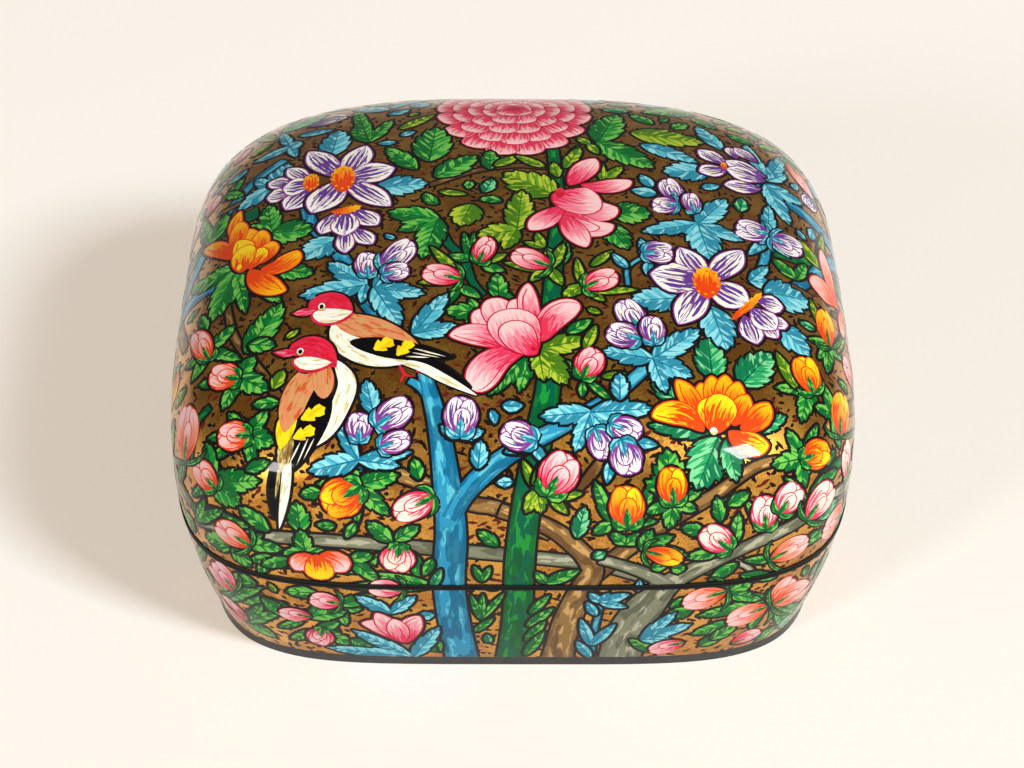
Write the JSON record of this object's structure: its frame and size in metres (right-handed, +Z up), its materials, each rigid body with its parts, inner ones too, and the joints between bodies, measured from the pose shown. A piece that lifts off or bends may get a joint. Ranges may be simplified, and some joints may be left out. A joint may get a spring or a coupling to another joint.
{
  "type": "lidded box",
  "caption": "Pillow-shaped papier mache box with a lift-off lid, for keeping trinkets and sewing things.",
  "frame": {"origin": "centre of the underside of the foot board", "axes": "+Z up, the way the lid lifts off; -Y is the front of the painting"},
  "size_m": [0.104, 0.104, 0.0518],
  "materials": {
    "painted_lid": "gloss lacquer over painting on a bronze ground",
    "painted_tray": "gloss lacquer over painting on a bronze ground",
    "black_lacquer": "gloss black lacquer",
    "lining_paper": "satin black lining paper",
    "collar_card": "black lacquered card",
    "foot_card": "black lacquered board, a little rubbed"
  },
  "bodies": {
    "tray": {"base_shell": "painted_tray", "base_lining": "lining_paper", "base_edge_binding": "black_lacquer", "locating_collar": "collar_card", "foot_board": "foot_card"},
    "lid": {"lid_shell": "painted_lid", "lid_lining": "lining_paper", "lid_edge_binding": "black_lacquer"}
  },
  "joints": [
    {"name": "lid_lift", "type": "slide", "parent": "tray", "child": "lid", "axis": [0, 0, 1], "range_m": [0, 0.04]}
  ]
}
